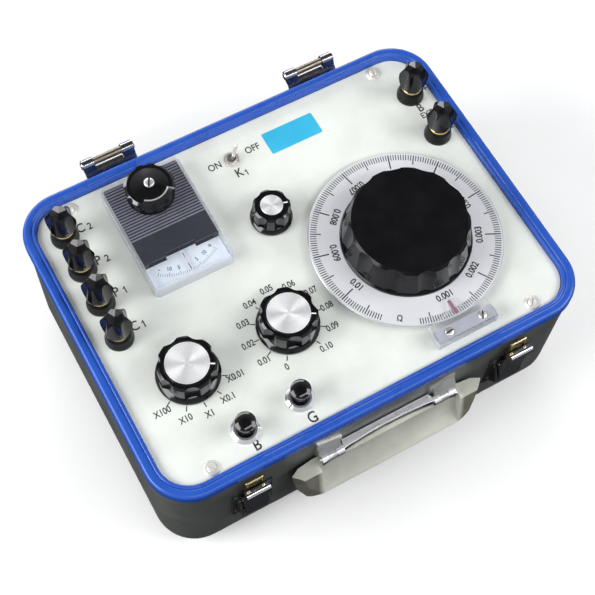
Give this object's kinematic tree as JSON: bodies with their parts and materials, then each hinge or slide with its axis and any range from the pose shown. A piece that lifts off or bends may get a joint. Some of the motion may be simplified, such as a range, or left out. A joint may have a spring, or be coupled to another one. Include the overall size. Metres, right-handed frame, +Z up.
{
  "type": "portable double bridge",
  "caption": "Portable low-resistance bridge in a hinged-lid carrying case: galvanometer, slide-wire dial, range knobs, press keys, binding posts, folding handle and latches.",
  "frame": {"origin": "middle of the bounding box on the table plane, at the underside of the feet", "axes": "+X to the right along the front edge, +Y to the rear where the lid hinges are, +Z up out of the panel"},
  "size_m": [0.3, 0.254, 0.137],
  "materials": {
    "case_enamel": "dark grey stoved enamel, satin",
    "rim_enamel": "blue stoved enamel, glossy",
    "panel_enamel": "pale green-white enamel, satin",
    "foot_rubber": "black rubber",
    "screw_steel": "nickel-plated steel",
    "moulded_black": "black phenolic moulding",
    "knob_black": "polished black phenolic",
    "cell_sleeve": "printed plastic sleeve",
    "board_laminate": "phenolic laminate",
    "clear_acrylic": "clear acrylic",
    "meter_navy": "dark blue moulding",
    "scale_white": "white scale plate",
    "pointer_red": "red lacquer",
    "switch_nickel": "nickel-plated steel",
    "spun_aluminium": "spun aluminium",
    "bright_brass": "bright brass",
    "former_brown": "wire-wound laminate ring",
    "shaft_steel": "plain steel",
    "fitting_chrome": "bright plating",
    "latch_black": "black enamel over steel",
    "loop_zinc": "yellow-passivated zinc on steel wire",
    "grip_beige": "beige moulded grip"
  },
  "bodies": {
    "instrument": {"case_shell": "case_enamel", "rim_frame": "rim_enamel", "feet": "foot_rubber", "front_panel": "panel_enamel", "panel_screws": "screw_steel", "battery_cover": "case_enamel", "battery_box": "moulded_black", "cells": "cell_sleeve", "circuit_board": "board_laminate", "meter_cover": "clear_acrylic", "meter_body": "meter_navy", "meter_scale": "scale_white", "toggle_body": "switch_nickel", "sens_pot": "switch_nickel", "step_switch": "board_laminate", "mult_switch": "board_laminate", "shaft_bushes": "bright_brass", "slide_wire": "former_brown", "cursor_plate": "clear_acrylic", "cursor_strip": "spun_aluminium", "key_bezels": "switch_nickel", "key_switches": "moulded_black", "post_bases": "moulded_black", "post_studs": "bright_brass", "handle_brackets": "fitting_chrome", "latch_bases": "latch_black", "hinge_leaves": "fitting_chrome", "hinge_pins": "shaft_steel"},
    "pointer": {"meter_pointer": "pointer_red"},
    "zero_adjuster": {"zero_knob": "knob_black"},
    "power_toggle": {"toggle_lever": "switch_nickel"},
    "sensitivity": {"sens_knob": "knob_black", "sens_cap": "spun_aluminium"},
    "step_selector": {"step_knob": "knob_black", "step_cap": "spun_aluminium"},
    "multiplier": {"mult_knob": "knob_black", "mult_cap": "spun_aluminium"},
    "slide_dial": {"main_shaft": "shaft_steel", "main_dial": "spun_aluminium", "main_knob": "knob_black"},
    "button_b": {"key_b": "knob_black"},
    "button_g": {"key_g": "knob_black"},
    "handle": {"handle_strap": "fitting_chrome", "handle_grip": "grip_beige"},
    "latch_left": {"lever_left": "fitting_chrome"},
    "latch_right": {"lever_right": "fitting_chrome"},
    "hook_left": {"loop_left": "loop_zinc"},
    "hook_right": {"loop_right": "loop_zinc"},
    "collar_c2": {"ring_c2": "bright_brass"},
    "terminal_c2": {"cap_c2": "knob_black"},
    "collar_p2": {"ring_p2": "bright_brass"},
    "terminal_p2": {"cap_p2": "knob_black"},
    "collar_p1": {"ring_p1": "bright_brass"},
    "terminal_p1": {"cap_p1": "knob_black"},
    "collar_c1": {"ring_c1": "bright_brass"},
    "terminal_c1": {"cap_c1": "knob_black"},
    "collar_plus": {"ring_plus": "bright_brass"},
    "terminal_plus": {"cap_plus": "knob_black"},
    "collar_minus": {"ring_minus": "bright_brass"},
    "terminal_minus": {"cap_minus": "knob_black"}
  },
  "joints": [
    {"name": "dial_turn", "type": "hinge", "parent": "instrument", "child": "slide_dial", "pos_m": [0.0655, -0.02155, 0.11], "axis": [0, 0, 1], "range_deg": [-313.6, 22.4]},
    {"name": "step_turn", "type": "hinge", "parent": "instrument", "child": "step_selector", "pos_m": [-0.0295, -0.03785, 0.107], "axis": [0, 0, 1], "range_deg": [-30, 270]},
    {"name": "multiplier_turn", "type": "hinge", "parent": "instrument", "child": "multiplier", "pos_m": [-0.0985, -0.03785, 0.107], "axis": [0, 0, 1], "range_deg": [-120, 0]},
    {"name": "sensitivity_turn", "type": "hinge", "parent": "instrument", "child": "sensitivity", "pos_m": [-0.002, 0.03385, 0.107], "axis": [0, 0, 1], "range_deg": [-43, 257]},
    {"name": "zero_turn", "type": "hinge", "parent": "instrument", "child": "zero_adjuster", "pos_m": [-0.065, 0.07945, 0.118], "axis": [0, 0, 1], "range_deg": [-150, 150]},
    {"name": "pointer_swing", "type": "hinge", "parent": "instrument", "child": "pointer", "pos_m": [-0.065, 0.05945, 0.111], "axis": [0, 0, 1], "range_deg": [-34, 34], "stiffness_Nm_per_rad": 0.0005},
    {"name": "toggle_throw", "type": "hinge", "parent": "instrument", "child": "power_toggle", "pos_m": [-0.0045, 0.08395, 0.104], "axis": [0, 1, 0], "range_deg": [-22, 0]},
    {"name": "key_b_press", "type": "slide", "parent": "instrument", "child": "button_b", "axis": [0, 0, -1], "range_m": [0, 0.003], "stiffness_N_per_m": 300, "springref_m": -0.002},
    {"name": "key_g_press", "type": "slide", "parent": "instrument", "child": "button_g", "axis": [0, 0, -1], "range_m": [0, 0.003], "stiffness_N_per_m": 300, "springref_m": -0.002},
    {"name": "collar_c2_rise", "type": "slide", "parent": "instrument", "child": "collar_c2", "axis": [0, 0, 1], "range_m": [0, 0.0024]},
    {"name": "terminal_c2_turn", "type": "hinge", "parent": "collar_c2", "child": "terminal_c2", "pos_m": [-0.1245, 0.08345, 0.1176], "axis": [0, 0, 1], "range_deg": [0, 1080]},
    {"name": "collar_p2_rise", "type": "slide", "parent": "instrument", "child": "collar_p2", "axis": [0, 0, 1], "range_m": [0, 0.0024]},
    {"name": "terminal_p2_turn", "type": "hinge", "parent": "collar_p2", "child": "terminal_p2", "pos_m": [-0.1245, 0.05695, 0.1176], "axis": [0, 0, 1], "range_deg": [0, 1080]},
    {"name": "collar_p1_rise", "type": "slide", "parent": "instrument", "child": "collar_p1", "axis": [0, 0, 1], "range_m": [0, 0.0024]},
    {"name": "terminal_p1_turn", "type": "hinge", "parent": "collar_p1", "child": "terminal_p1", "pos_m": [-0.1245, 0.03045, 0.1176], "axis": [0, 0, 1], "range_deg": [0, 1080]},
    {"name": "collar_c1_rise", "type": "slide", "parent": "instrument", "child": "collar_c1", "axis": [0, 0, 1], "range_m": [0, 0.0024]},
    {"name": "terminal_c1_turn", "type": "hinge", "parent": "collar_c1", "child": "terminal_c1", "pos_m": [-0.1245, 0.00395, 0.1176], "axis": [0, 0, 1], "range_deg": [0, 1080]},
    {"name": "collar_plus_rise", "type": "slide", "parent": "instrument", "child": "collar_plus", "axis": [0, 0, 1], "range_m": [0, 0.0024]},
    {"name": "terminal_plus_turn", "type": "hinge", "parent": "collar_plus", "child": "terminal_plus", "pos_m": [0.127, 0.07295, 0.1176], "axis": [0, 0, 1], "range_deg": [0, 1080]},
    {"name": "collar_minus_rise", "type": "slide", "parent": "instrument", "child": "collar_minus", "axis": [0, 0, 1], "range_m": [0, 0.0024]},
    {"name": "terminal_minus_turn", "type": "hinge", "parent": "collar_minus", "child": "terminal_minus", "pos_m": [0.127, 0.03745, 0.1176], "axis": [0, 0, 1], "range_deg": [0, 1080]},
    {"name": "handle_swing", "type": "hinge", "parent": "instrument", "child": "handle", "pos_m": [0, -0.11605, 0.0775], "axis": [-1, 0, 0], "range_deg": [0, 100]},
    {"name": "latch_left_open", "type": "hinge", "parent": "instrument", "child": "latch_left", "pos_m": [-0.094, -0.11455, 0.051], "axis": [1, 0, 0], "range_deg": [0, 110]},
    {"name": "hook_left_swing", "type": "hinge", "parent": "latch_left", "child": "hook_left", "pos_m": [-0.094, -0.11365, 0.0705], "axis": [1, 0, 0], "range_deg": [-110, 0]},
    {"name": "latch_right_open", "type": "hinge", "parent": "instrument", "child": "latch_right", "pos_m": [0.094, -0.11455, 0.051], "axis": [1, 0, 0], "range_deg": [0, 110]},
    {"name": "hook_right_swing", "type": "hinge", "parent": "latch_right", "child": "hook_right", "pos_m": [0.094, -0.11365, 0.0705], "axis": [1, 0, 0], "range_deg": [-110, 0]}
  ],
  "couplings": [
    {"joint": "terminal_c2_turn", "follows": "collar_c2_rise", "rad_per_m": 7854},
    {"joint": "terminal_p2_turn", "follows": "collar_p2_rise", "rad_per_m": 7854},
    {"joint": "terminal_p1_turn", "follows": "collar_p1_rise", "rad_per_m": 7854},
    {"joint": "terminal_c1_turn", "follows": "collar_c1_rise", "rad_per_m": 7854},
    {"joint": "terminal_plus_turn", "follows": "collar_plus_rise", "rad_per_m": 7854},
    {"joint": "terminal_minus_turn", "follows": "collar_minus_rise", "rad_per_m": 7854},
    {"joint": "hook_left_swing", "follows": "latch_left_open", "ratio": -1},
    {"joint": "hook_right_swing", "follows": "latch_right_open", "ratio": -1}
  ]
}
